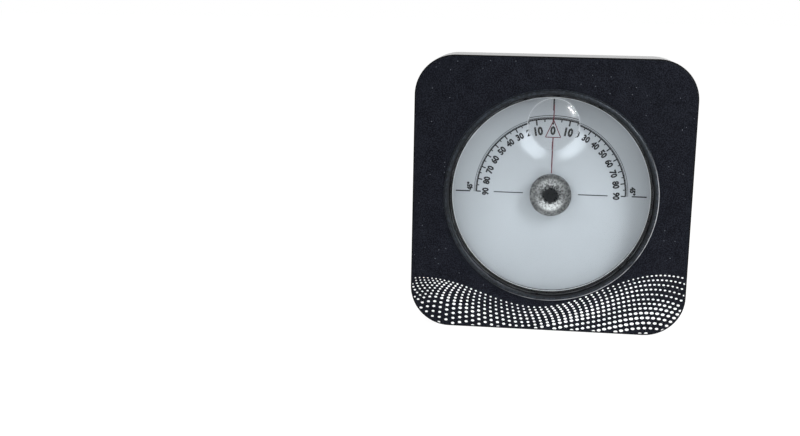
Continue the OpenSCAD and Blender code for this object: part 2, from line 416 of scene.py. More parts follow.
@dataclass(frozen=True)
class CaseBlack(Finish):
    """Moulded black plastic: a fine matte grain on the face, satin round the sides."""

    face: Colour = (0.0007, 0.0012, 0.0034)
    tip: Colour = (0.0110, 0.0128, 0.019)
    edge: Colour = (0.0003, 0.0003, 0.0005)
    lip: Colour = (0.016, 0.020, 0.027)
    # Painted highlight: colour of the pale line along the lip's lower right.
    worn: Colour = (0.50, 0.52, 0.55)
    side: Colour = (0.010, 0.011, 0.013)
    # Painted highlight: colour of the ridge of the bead on the back.
    crest: Colour = (0.034, 0.040, 0.050)
    speck: Colour = (0.10, 0.11, 0.13)
    sheen: Colour = (0.80, 0.90, 1.0)
    matte: Gloss = ((0.46, 0.16), 0.075, (0.035, 0.6))
    satin: Gloss = ((0.26, 0.12), 0.25, (0.01, 0.4))
    rolled: Gloss = ((0.28, 0.2), 0.34, (0.05, 0.7))
    satin_coat: Pair = (0.4, 0.12)
    grain: Pair = (4.6, 3.0)
    fine: Pair = (2.5, 3.0)
    lip_grain: Pair = (2.4, 3.0)
    wear_grain: Pair = (0.15, 2.0)
    cloud: Triple = (0.3, 2.0, 0.15)
    speck_size: Pair = (1.3, 0.17)
    shows: Pair = (0.42, 0.60)
    axis: Pair = (0.0, 30.0)
    edge_y: Pair = (-6.69, -6.66)
    side_y: Pair = (-6.45, -6.35)
    lip_y: Pair = (-6.35, -6.25)
    bead_y: Pair = (6.50, 6.57)
    crest_r: Pair = (22.25, 22.40)
    lip_r: Pair = (23.15, 23.21)
    # The painted highlight line: its radii, where it starts towards the lower right, and its patchy noise.
    line_r: tuple[Pair, Pair] = ((22.83, 22.90), (22.97, 23.05))
    wear_at: Pair = (8.0, 24.0)
    wear_shows: Pair = (0.25, 0.5)

    def surface(self, shader: Shader) -> Socket:
        """Builds grain and specks in front, satin behind the front edge and a glossier lip, whose inner side
        is coloured black as painted shade and whose lower right carries a painted highlight line.

        Args:
            shader: The material's shader.

        Returns:
            The surface.
        """
        across, y, up, radius = shader.about(self.axis)
        grain = shader.noise(*self.grain)
        *coarse, share = self.cloud
        mask = grain * (1.0 - share) + shader.noise(*coarse) * share
        tone = shader.blend(mask.above(*self.shows), self.face, self.tip)
        tone = shader.blend(shader.specks(*self.speck_size), tone, self.speck)
        matte = shader.grained(shader.blend(y.above(*self.edge_y), tone, self.edge), grain, self.matte)
        case = shader.either(y.above(*self.side_y), matte, self._satin(shader, y))
        tone = shader.blend(shader.noise(*self.lip_grain).above(*self.shows), self.edge, self.lip)
        # Painted shade: the inner side of the lip is coloured the darkest black.
        tone = shader.blend(radius.above(*self.crest_r), self.edge, tone)
        # Painted highlight: a pale, patchy line along the lip's lower right.
        worn = (across - up).above(*self.wear_at) * shader.noise(*self.wear_grain).above(*self.wear_shows)
        tone = shader.blend(radius.band(*self.line_r) * worn, tone, self.worn)
        rolled = shader.grained(tone, grain, self.rolled, Specular_Tint=self.sheen)
        return shader.either(radius.below(*self.lip_r) * y.below(*self.lip_y), case, rolled)

    def _satin(self, shader: Shader, y: Flow) -> Socket:
        """Builds the smoother satin of the sides and of the bead, whose ridge carries a painted highlight.

        Args:
            shader: The material's shader.
            y: Y of the place on the piece.

        Returns:
            The surface.
        """
        fine = shader.noise(*self.fine)
        # Painted highlight: the top of the bead is paler.
        tone = shader.blend(y.above(*self.bead_y), shader.blend(fine, self.edge, self.side), self.crest)
        coat, rough = self.satin_coat
        return shader.grained(tone, fine, self.satin, Coat_Weight=coat, Coat_Roughness=rough)


@dataclass(frozen=True)
class CoverBlack(Finish):
    """Black disc over a screw, with a dark turned-down rim as painted shade and, on the scuffed discs,
    scuffs and a painted highlight arc.
    """

    centre: Pair = (0.0, 0.0)
    # Strength of the scuffs and of the painted highlight arc.
    worn: float = 0.0
    low: Colour = (0.003, 0.004, 0.006)
    high: Colour = (0.020, 0.025, 0.033)
    scuffed: Colour = (0.13, 0.14, 0.155)
    # Painted shade: colour of the disc's rim.
    rim: Colour = (0.0008, 0.0008, 0.001)
    # Colour of the painted highlight arc.
    bright: Colour = (0.55, 0.57, 0.60)
    gloss: Gloss = ((0.34, 0.2), 0.16, None)
    relief: Pair = (0.06, 0.7)
    grain: Pair = (3.0, 4.0)
    scuffs: Pair = (0.9, 4.0)
    scuff_stretch: Triple = (1.0, 1.0, 1.6)
    shows: Pair = (0.36, 0.66)
    scuff_shows: Pair = (0.54, 0.70)
    rim_r: Pair = (1.84, 1.90)
    arc_r: tuple[Pair, Pair] = ((1.56, 1.68), (1.76, 1.86))
    arc_to: Pair = (-0.5, 0.85)
    arc_shows: Pair = (0.45, 0.85)

    def surface(self, shader: Shader) -> Socket:
        """Builds fine grain with its scuffs, its painted highlight arc and the painted shade of its rim.

        Args:
            shader: The material's shader.

        Returns:
            The surface.
        """
        side, _, up, radius = shader.about(self.centre)
        grain = shader.noise(*self.grain)
        tone = shader.blend(grain.above(*self.shows), self.low, self.high)
        scuff = shader.noise(*self.scuffs, self.scuff_stretch).above(*self.scuff_shows)
        tone = shader.blend(scuff * self.worn, tone, self.scuffed)
        # Painted shade: the disc's rim is coloured near black.
        tone = shader.blend(radius.above(*self.rim_r), tone, self.rim)
        # Painted highlight: a pale arc inside the upper rim, as strong as the scuffs.
        facing = (side * self.arc_to[0] + up * self.arc_to[1]) / radius
        arc = radius.band(*self.arc_r) * facing.above(*self.arc_shows)
        tone = shader.blend(arc * self.worn, tone, self.bright)
        normal = shader.bump((grain + scuff) * 0.5, *self.relief)
        return shader.grained(tone, grain, self.gloss, Normal=normal)


@dataclass(frozen=True)
class ClearWindow(Finish):
    """Polished clear plastic."""

    through: Colour = (0.93, 0.95, 0.96)
    tint: Colour = (0.975, 0.985, 0.99)
    sheen: Colour = (0.35, 0.36, 0.38)
    mirror: float = 0.1
    coat: float = 0.0
    coat_rough: float = 0.24
    index: float = 1.49
    haze: Triple = (0.4, 2.0, 0.02)

    def surface(self, shader: Shader) -> Socket:
        """Builds clear plastic that lets the lamps through to what it covers.

        Args:
            shader: The material's shader.

        Returns:
            The surface.
        """
        *grain, share = self.haze
        clear = shader.principled(
            Base_Color=self.tint,
            Roughness=(shader.noise(*grain) * share).limited(),
            IOR=self.index,
            Specular_IOR_Level=self.mirror,
            Specular_Tint=self.sheen,
            Transmission_Weight=1.0,
            Coat_Weight=self.coat,
            Coat_Roughness=self.coat_rough,
        )
        passed = shader.node("BsdfTransparent", {0: self.through}).outputs[0]
        return shader.either(shader.rays("Shadow", "Diffuse"), clear, passed)


@dataclass(frozen=True)
class FrostedBoss(Finish):
    """Ground surface of the window's boss, with fine radial flecks round the dark bearing, painted light and
    shade and painted glints.
    """

    dark: Colour = (0.003, 0.004, 0.005)
    pale: Colour = (0.72, 0.75, 0.755)
    # Colour of the painted glints.
    glint: Colour = (0.9, 0.92, 0.92)
    gloss: Gloss = ((0.55, 0.2), 0.08, (0.08, 0.8))
    glint_size: Pair = (0.75, 0.26)
    axis: Pair = (0.0, 30.0)
    grain: Pair = (2.4, 3.0)
    flecks: Pair = (7.0, 1.5)
    shows: Pair = (0.42, 0.58)
    contrast: Pair = (0.85, 0.55)
    # Painted light: the level at the sides, what the top and bottom add, and what the bottom gains and the
    # top loses.
    lit: Triple = (0.30, 0.50, 0.17)
    inner_r: Pair = (1.45, 2.55)
    outer_r: Pair = (3.2, 3.9)
    ragged: float = 2.0
    # Painted shade: the level outside the inner part of the frost.
    rim_level: float = 0.22

    def surface(self, shader: Shader) -> Socket:
        """Builds grey frost that darkens towards the bearing, with painted light and shade that make it
        palest at the bottom and dark at the sides and outer edge, and painted glints.

        Args:
            shader: The material's shader.

        Returns:
            The surface.
        """
        side, _, up, radius = shader.about(self.axis)
        turn = shader.math("ARCTAN2", up, side)
        spot = shader.node("CombineXYZ", {0: turn * self.flecks[0], 1: radius * self.flecks[1], 2: 0.0})
        mottle = (shader.fractal(spot.outputs[0], 1.0, self.grain[1]) + shader.noise(*self.grain)) * 0.5
        # Painted light and shade: palest at the bottom, less pale at the top, darkest at the sides, darker
        # outside the inner part.
        facing = up / radius
        ring = radius + (mottle - 0.5) * self.ragged
        inner = ring.below(*self.outer_r)
        base, ends, slope = self.lit
        level = (base + facing * facing * ends - facing * slope) * inner + self.rim_level * (1.0 - inner)
        gain, rest = self.contrast
        level = level * (mottle.above(*self.shows) * gain + rest) * ring.above(*self.inner_r)
        tone = shader.blend(level.limited(), self.dark, self.pale)
        # Painted glints: sparse pale specks on the inner part of the frost.
        tone = shader.blend(shader.specks(*self.glint_size) * inner, tone, self.glint)
        return shader.grained(tone, mottle, self.gloss)


@dataclass(frozen=True)
class StudioFloor(Finish):
    """Plain pale sweep that keeps a soft shadow and looks white from the camera."""

    tone: Colour = (0.88, 0.88, 0.88)
    glow: float = 1.09
    share: float = 0.88

    def surface(self, shader: Shader) -> Socket:
        """Builds a pale matte surface, mostly white where it is seen directly or mirrored.

        Args:
            shader: The material's shader.

        Returns:
            The surface.
        """
        matte = shader.principled(Base_Color=self.tone, Roughness=0.9, Specular_IOR_Level=0.0)
        white = shader.node("Emission", {"Color": WHITE, "Strength": self.glow})
        return shader.either(shader.seen() * self.share, matte, white.outputs[0])


METAL = {"metallic": 1.0, "grain": (1.5, 4.0), "stretch": (1, 8, 1), "shows": None, "relief": (0.01, 0.5)}
INK = {"specular": 0.06, "grain": (5.0, 3.0), "shows": (0.3, 0.6), "relief": None}
CASE = CaseBlack("case_black")
PLATE = Grained("plate_black", (0.005, 0.008, 0.013), (0.032, 0.042, 0.056), (0.36, 0.22), 0.14, (3.8, 3.0),
                (0.12, 2.0, 0.15), (0.36, 0.66), (0.06, 0.8))
GASKET = Grained("gasket_rubber", (0.02, 0.02, 0.02), (0.04, 0.04, 0.04), (0.65, 0.2))
SEAL = Grained("seal_rubber", (0.008, 0.008, 0.008), (0.02, 0.02, 0.02), (0.45, 0.2))
FOAM = Grained("foam", (0.04, 0.04, 0.045), (0.10, 0.10, 0.11), (0.8, 0.2), grain=(2.0, 3.0),
               relief=(0.15, 0.6))
CUP = CupPlastic("cup_plastic", (0.42, 0.45, 0.48), (0.50, 0.53, 0.56), (0.2, 0.15), grain=(0.8, 3.0),
                 shows=None, relief=(0.004, 0.5))
BUSH = Grained("bush_black", (0.003, 0.003, 0.004), (0.012, 0.012, 0.013), (0.3, 0.2), 0.12, (2.0, 3.0))
STEEL = Grained("screw_steel", (0.45, 0.46, 0.48), (0.66, 0.67, 0.69), (0.28, 0.12), **METAL)
AXLE = Grained("axle_steel", (0.50, 0.51, 0.53), (0.72, 0.73, 0.75), (0.15, 0.12), **METAL)
NICKEL = Grained("nickel", (0.22, 0.23, 0.24), (0.34, 0.35, 0.36), (0.28, 0.12), **METAL)
BRASS = Grained("brass", (0.62, 0.46, 0.20), (0.86, 0.68, 0.36), (0.28, 0.12), **METAL)
RUBY = Grained("jewel_ruby", (0.30, 0.01, 0.03), (0.55, 0.03, 0.07), (0.06, 0.05), grain=(1.2, 2.0),
               shows=None, relief=None, coat=0.6)
WINDOW = ClearWindow("clear_plastic")
LENS = ClearWindow("clear_lens", through=(0.86, 0.88, 0.90), mirror=0.0, coat=0.5)
# Painted highlight on the magnifier's root, paler upwards.
LENS_EDGE = LensEdge("lens_edge", (0.32, 0.345, 0.37), (0.70, 0.74, 0.77), (0.25, 0.1), 0.4, (2.0, 3.0),
                     shows=None, relief=None)
FROST = FrostedBoss("frosted_boss")
# Painted shade: the window's side wall and flange are coloured black.
RIM = Grained("painted_shade_rim", (0.002, 0.002, 0.002), (0.005, 0.005, 0.006), (0.25, 0.2), grain=(2.0, 3.0),
              relief=(0.004, 0.6))
# Painted glint: the pale ring under the window's edge.
GLINT = Grained("painted_glint_edge", (0.62, 0.66, 0.69), (0.74, 0.78, 0.80), (0.2, 0.2), grain=(2.0, 3.0),
                relief=(0.003, 0.6))
# Painted reflection: a thin grey line on the window's chamfer.
WINDOW_EDGE = Grained("window_edge", (0.03, 0.034, 0.04), (0.24, 0.26, 0.28), (0.2, 0.2), grain=(0.35, 3.0),
                      relief=(0.003, 0.6))
CARD = Grained("card_pale", (0.398, 0.424, 0.450), (0.424, 0.452, 0.480), (0.42, 0.15), 0.35, (6.0, 2.0),
               (0.08, 3.0, 0.7), relief=(0.004, 0.4))
INK_BLACK = Grained("ink_black", (0.002, 0.002, 0.003), (0.008, 0.008, 0.009), (0.45, 0.1), **INK)
INK_GREY = Grained("ink_grey", (0.05, 0.054, 0.06), (0.09, 0.096, 0.102), (0.45, 0.1), **INK)
INK_RED = Grained("ink_red", (0.06, 0.003, 0.012), (0.13, 0.012, 0.025), (0.45, 0.1), **INK)
INK_WHITE = Grained("ink_white", (0.80, 0.81, 0.82), (0.88, 0.88, 0.88), (0.6, 0.1), **INK)
FLOOR = StudioFloor("studio_floor")


# Objects


def linked(made: Thing) -> Thing:
    """Returns a new object once it is in the scene."""
    bpy.context.scene.collection.objects.link(made)
    return made


def solid(name: str, mesh: bmesh.types.BMesh) -> Thing:
    """Makes an object of a finished mesh.

    Args:
        name: The object's name.
        mesh: Its mesh, which is freed.

    Returns:
        The new object.
    """
    data = bpy.data.meshes.new(name)
    mesh.to_mesh(data)
    mesh.free()
    return linked(bpy.data.objects.new(name, data))


def piece(name: str, mesh: bmesh.types.BMesh, finishes: list[Finish], body: Body, slot: str) -> Thing:
    """Makes a piece of a finished mesh.

    Args:
        name: The piece's name.
        mesh: Its mesh, which is freed.
        finishes: The finishes that the mesh's faces number.
        body: The body that it rides on.
        slot: The record's material slot; it is not used.

    Returns:
        The new object.
    """
    bmesh.ops.recalc_face_normals(mesh, faces=mesh.faces)
    made = solid(name, mesh)
    for finish in finishes:
        made.data.materials.append(finish.material())
    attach(made, body.value)
    LOG.info("%s: %d points on %s", name, len(made.data.vertices), body.value)
    return made


def dress(nodes: dict[str, Thing], finishes: dict[str, Finish]) -> None:
    """Puts finishes on CAD nodes.

    Args:
        nodes: The CAD nodes by name.
        finishes: The finishes by the nodes' names.
    """
    for name, finish in finishes.items():
        finish.on(nodes[name])
        LOG.info("%s: %s", name, finish.name)


def stance(place: Triple, across: Vector, along: Vector, ahead: Vector) -> Matrix:
    """Returns the matrix of what stands at a place, by its right, its top and where it looks."""
    turn = Matrix((across, along, -ahead)).transposed().to_4x4()
    return Matrix.Translation(Vector(place) * MM) @ turn


# Printing


class Printing:
    """Flat printed shapes on an upright surface, gathered into one thin solid mesh."""

    thick: float = 0.02

    def __init__(self, name: str, surface_y: float, facing: Facing = Facing.FRONT) -> None:
        """Starts an empty print.

        Args:
            name: The finished piece's name.
            surface_y: Where the printed surface lies.
            facing: Which way it looks.
        """
        self.name = name
        self.surface_y = surface_y
        self.facing = facing
        self.mesh = bmesh.new()

    def spot(self, u: float, v: float, rise: float) -> Vector:
        """Places a point of the print.

        Args:
            u: How far it lies to the right, as seen.
            v: Its height.
            rise: How far it stands proud of the surface.

        Returns:
            Its place in metres.
        """
        if self.facing is Facing.FRONT:
            return Vector((u, self.surface_y - rise, v)) * MM
        return Vector((-u, self.surface_y + rise, v)) * MM

    def shape(self, outline: list[Pair]) -> None:
        """Adds a convex shape.

        Args:
            outline: Its corners, anticlockwise as seen.
        """
        low = [self.mesh.verts.new(self.spot(u, v, 0.0)) for u, v in outline]
        top = [self.mesh.verts.new(self.spot(u, v, self.thick)) for u, v in outline]
        self.mesh.faces.new(top)
        self.mesh.faces.new(reversed(low))
        for at in range(len(outline)):
            after = (at + 1) % len(outline)
            self.mesh.faces.new((low[at], low[after], top[after], top[at]))

    def bar(self, start: Pair, end: Pair, width: float) -> None:
        """Adds a straight stroke.

        Args:
            start: The middle of one end.
            end: The middle of the other.
            width: The stroke's width.
        """
        along = Vector(end) - Vector(start)
        side = Vector((-along.y, along.x)).normalized() * width / 2
        first, last = Vector(start), Vector(end)
        self.shape([tuple(first - side), tuple(last - side), tuple(last + side), tuple(first + side)])

    def arc(self, centre: Pair, radius: float, width: float, start: float, end: float, steps: int) -> None:
        """Adds a curved stroke.

        Args:
            centre: The arc's centre.
            radius: Radius of the stroke's middle.
            width: The stroke's width.
            start: First angle in degrees, anticlockwise from the right.
            end: Last angle in degrees.
            steps: Number of pieces that it is made of.
        """
        rows = []
        for at in range(steps + 1):
            turn = math.radians(start + (end - start) * at / steps)
            across = []
            for rise in (0.0, self.thick):
                for reach in (radius - width / 2, radius + width / 2):
                    u = centre[0] + reach * math.cos(turn)
                    v = centre[1] + reach * math.sin(turn)
                    across.append(self.mesh.verts.new(self.spot(u, v, rise)))
            rows.append(across)
        for one, two in zip(rows, rows[1:]):
            for a, b in ((0, 1), (1, 3), (3, 2), (2, 0)):
                self.mesh.faces.new((one[a], one[b], two[b], two[a]))
        self.mesh.faces.new([rows[0][a] for a in (0, 2, 3, 1)])
        self.mesh.faces.new([rows[-1][a] for a in (0, 1, 3, 2)])

    def words(self, text: str, place: Pair, height: float, turn: float = 0.0, narrow: float = 1.0,
              weight: float = 0.0, align: str = "CENTER") -> None:
        """Adds figures.

        Args:
            text: The figures.
            place: Their middle, or their left end, at half their height.
            height: Height of a figure.
            turn: Angle in degrees that they are turned by, anticlockwise.
            narrow: Width as a share of the plain width.
            weight: How far the strokes are widened.
            align: The alignment about place.
        """
        curve = bpy.data.curves.new("figures", "FONT")
        curve.body = text
        curve.align_x = align
        curve.size = height / FIGURE_SHARE
        curve.offset = weight
        curve.extrude = self.thick / 2
        curve.resolution_u = 2
        holder = linked(bpy.data.objects.new("figures", curve))
        seen = holder.evaluated_get(bpy.context.evaluated_depsgraph_get())
        flat = bpy.data.meshes.new_from_object(seen)
        bpy.data.objects.remove(holder)
        spin = Matrix.Rotation(math.radians(turn), 2)
        part = bmesh.new()
        part.from_mesh(flat)
        bmesh.ops.remove_doubles(part, verts=part.verts, dist=height * 1e-4)
        for vert in part.verts:
            flat_spot = spin @ Vector((vert.co.x * narrow, vert.co.y - height / 2))
            vert.co = self.spot(place[0] + flat_spot.x, place[1] + flat_spot.y, vert.co.z + self.thick / 2)
        part.to_mesh(flat)
        part.free()
        self.mesh.from_mesh(flat)
        bpy.data.meshes.remove(flat)
        bpy.data.curves.remove(curve)

    def done(self, ink: Finish, body: Body, slot: str) -> None:
        """Makes the piece in an ink and on a body."""
        piece(self.name, self.mesh, [ink], body, slot)


@dataclass(frozen=True)
class Station:
    """One ring of a turned mesh, and the finish of the band that follows it."""

    centre: Pair
    radius: float
    y: float
    finish: Finish
    crisp: bool = True


class Turned:
    """A closed mesh of rings that are joined in order, from a point in front to a last disc."""

    steps: int = 144

    def __init__(self) -> None:
        """Starts an empty mesh."""
        self.mesh = bmesh.new()
        self.finishes: list[Finish] = []

    def ring(self, station: Station) -> list[bmesh.types.BMVert]:
        """Makes the corners of a ring.

        Args:
            station: The ring's station.

        Returns:
            The corners in order.
        """
        made = []
        for at in range(self.steps):
            turn = math.tau * at / self.steps
            x = station.centre[0] + station.radius * math.cos(turn)
            z = station.centre[1] + station.radius * math.sin(turn)
            made.append(self.mesh.verts.new(Vector((x, station.y, z)) * MM))
        return made

    def index(self, finish: Finish) -> int:
        """Numbers a finish, which is added where it is new.

        Args:
            finish: The finish.

        Returns:
            Its number.
        """
        if finish not in self.finishes:
            self.finishes.append(finish)
        return self.finishes.index(finish)

    def join(self, stations: list[Station]) -> None:
        """Joins the stations' rings, with a fan on the first and a disc on the last.

        Args:
            stations: The rings in order; the first has no radius.
        """
        tip = self.mesh.verts.new(Vector((stations[0].centre[0], stations[0].y, stations[0].centre[1])) * MM)
        rows = [self.ring(station) for station in stations[1:]]
        for at in range(self.steps):
            after = (at + 1) % self.steps
            fan = self.mesh.faces.new((tip, rows[0][after], rows[0][at]))
            fan.material_index = self.index(stations[0].finish)
            for station, one, two in zip(stations[1:], rows, rows[1:]):
                face = self.mesh.faces.new((one[at], one[after], two[after], two[at]))
                face.material_index = self.index(station.finish)
        end = self.mesh.faces.new(rows[-1])
        end.material_index = self.index(stations[-1].finish)
        for face in self.mesh.faces:
            face.smooth = True
        for station, row in zip(stations[1:], rows):
            for at in range(self.steps if station.crisp else 0):
                edge = self.mesh.edges.get((row[at], row[(at + 1) % self.steps]))
                edge.smooth = False


# The block


@dataclass(frozen=True)
class Wave:
    """The wave of white dots: rows that crowd together, droop and fan out under a waved upper edge."""

    rows: int = 19
    columns: int = 36
    column_pitch: float = 1.09
    fan: float = 0.022
    lean: float = 0.1
    drift: float = 1.3
    drift_turn: Pair = (0.13, 0.2)
    level: float = 8.8
    tilt: float = 1.5
    tilt_span: float = 60.0
    swell: float = 3.45
    swell_at: float = -1.0
    swell_span: float = 26.0
    row_pitch: float = 0.80
    row_growth: float = 0.018
    crowding: float = 0.34
    crowds: tuple[Pair, ...] = ((3.0, 9.0), (-24.0, 6.5))
    crowded_rows: float = 7.0
    droop: float = 0.0012
    droop_from: float = 11.0
    drooping_rows: float = 5.0
    level_rows: float = 12.0
    half_dot: Pair = (0.395, 0.265)
    sizes: Triple = (0.58, 0.052, 1.08)
    small: Triple = (0.22, -27.0, 5.0)
    uneven: Triple = (0.10, 12.9, 7.3)

    def top(self, u: float) -> float:
        """Returns how high the first row lies at a place along the face."""
        swell = self.swell * math.cos(math.pi * (u - self.swell_at) / self.swell_span)
        return self.level + self.tilt * math.sin(math.pi * u / self.tilt_span) - swell

    def fall(self, u: float, row: int) -> float:
        """Measures how far a row lies under the first one.

        Args:
            u: The place along the face.
            row: The row's number.

        Returns:
            The distance.
        """
        crowd = self.crowding * sum(math.exp(-(((u - at) / wide) ** 2)) for at, wide in self.crowds)
        droop = self.droop * max(0.0, u - self.droop_from) ** 2 * min(row, self.drooping_rows)
        return row * self.row_pitch - crowd * min(row, self.crowded_rows) + self.row_growth * row**2 + droop

    def slope(self, u: float, row: int) -> float:
        """Returns the tilt of a row's dots in radians."""
        return math.atan(self.top(u + 0.5) - self.top(u - 0.5)) * max(0.0, 1 - row / self.level_rows)

    def size(self, u: float, row: int, column: int) -> float:
        """Sizes a dot.

        Args:
            u: The dot's place along the face.
            row: Its row.
            column: Its place in the row.

        Returns:
            Its size as a share of the full one.
        """
        least, growth, most = self.sizes
        less, at, wide = self.small
        share, by_column, by_row = self.uneven
        size = min(most, least + growth * row) * (1 - less * math.exp(-(((u - at) / wide) ** 2)))
        return size * (1 + share * math.sin(by_column * column + by_row * row))

    def dots(self) -> list[tuple[Pair, Pair, float]]:
        """Lays out the dots.

        Returns:
            The middle, half axes and tilt of each dot.
        """
        made = []
        for row in range(self.rows):
            for column in range(-self.columns, self.columns + 1):
                u = self.column_pitch * column * (1 + self.fan * row) + self.lean * row
                u += self.drift * math.sin(self.drift_turn[0] * column + self.drift_turn[1] * row)
                size = self.size(u, row, column)
                half = (self.half_dot[0] * size, self.half_dot[1] * size)
                made.append(((u, self.top(u) - self.fall(u, row)), half, self.slope(u, row)))
        return made


@dataclass
class Block:
    """The black block: shell, back plate with its screws and discs, and their white print."""

    half: float = 30.0
    corner_r: float = 8.75
    face_y: float = -6.7
    back_y: float = 6.7
    edge: float = 0.42
    dots_from_r: float = 23.45
    dot_reach: float = 0.12
    dot_corners: int = 10
    wave: Wave = Wave()
    table_top: float = 36.8
    table_pitch: float = 2.35
    table_height: float = 1.45
    table_narrow: float = 0.98
    table_weight: float = 0.035
    table_columns: tuple[float, ...] = (-21.75, -12.67, -3.17, 6.6, 16.1)
    table_rows: int = 9
    title_at: Pair = (1.0, 45.3)
    title_height: float = 2.4
    title_narrow: float = 0.92
    rule_at: float = 42.3
    rule_half: float = 6.75
    rule_w: float = 0.22
    # Each disc's X and Z, and the strength of its scuffs and painted highlight arc.
    covers: tuple[Triple, ...] = (
        (-24.0, 54.0, 0.9), (24.0, 54.0, 0.9), (-24.0, 6.0, 0.05), (24.0, 6.0, 0.05),
    )

    def build(self, nodes: dict[str, Thing]) -> None:
        """Dresses the CAD nodes and prints the face and the back.

        Args:
            nodes: The CAD nodes by name.
        """
        dress(nodes, {"housing": CASE, "back_plate": PLATE, "back_gasket": GASKET, "back_screws": STEEL})
        for at, (side, up, worn) in enumerate(self.covers, start=1):
            name = f"screw_cover_{at}"
            dress(nodes, {name: CoverBlack(name, (side, up), worn)})
        self.print_face()
        self.print_back()

    def kept_in(self, u: float, v: float) -> Pair:
        """Keeps a point on the flat of the face.

        Args:
            u: How far the point lies to the right.
            v: Its height.

        Returns:
            The point, moved to the flat's edge where it lay outside it.
        """
        flat = self.half - self.edge
        reach = self.corner_r - self.edge
        v -= self.half
        u, v = max(-flat, min(flat, u)), max(-flat, min(flat, v))
        over_u, over_v = abs(u) - (flat - reach), abs(v) - (flat - reach)
        if over_u > 0 and over_v > 0 and math.hypot(over_u, over_v) > reach:
            pull = reach / math.hypot(over_u, over_v)
            u = math.copysign(flat - reach + over_u * pull, u)
            v = math.copysign(flat - reach + over_v * pull, v)
        return u, v + self.half

    def on_face(self, u: float, v: float) -> bool:
        """Returns whether a dot's middle lies on the flat of the face and clear of the lip."""
        near = math.dist((u, v), self.kept_in(u, v))
        return near < self.dot_reach and math.hypot(u, v - self.half) > self.dots_from_r

    def print_face(self) -> None:
        """Prints the wave of oval dots, cut off where they would run over the face's edge."""
        ink = Printing("face_dots", self.face_y)
        for (u, v), (long, short), slope in self.wave.dots():
            if not self.on_face(u, v):
                continue
            outline = []
            for at in range(self.dot_corners):
                turn = math.tau * at / self.dot_corners
                a, b = long * math.cos(turn), short * math.sin(turn)
                along = a * math.cos(slope) - b * math.sin(slope)
                rise = a * math.sin(slope) + b * math.cos(slope)
                outline.append(self.kept_in(u + along, v + rise))
            if len({(round(a, 3), round(b, 3)) for a, b in outline}) == len(outline):
                ink.shape(outline)
        ink.done(INK_WHITE, Body.CASE, "case_plastic")

    def print_back(self) -> None:
        """Prints the full-turn figure, its rule and the table of degrees and ratios on the back plate."""
        ink = Printing("back_table", self.back_y, Facing.BACK)
        ink.words("360°", self.title_at, self.title_height, narrow=self.title_narrow)
        mid = self.title_at[0]
        ink.bar((mid - self.rule_half, self.rule_at), (mid + self.rule_half, self.rule_at), self.rule_w)
        for at in range(self.table_rows * len(self.table_columns)):
            degrees = at + 1
            value = 1 / math.tan(math.radians(degrees))
            figures = f"{degrees}–{value:.2f}" if value >= 10 else f"{degrees}–{value:.3f}"
            column, row = divmod(at, self.table_rows)
            place = (self.table_columns[column], self.table_top - row * self.table_pitch)
            ink.words(figures, place, self.table_height, 0.0, self.table_narrow, self.table_weight, "LEFT")
        ink.done(INK_WHITE, Body.CASE, "plate_plastic")


# The capsule


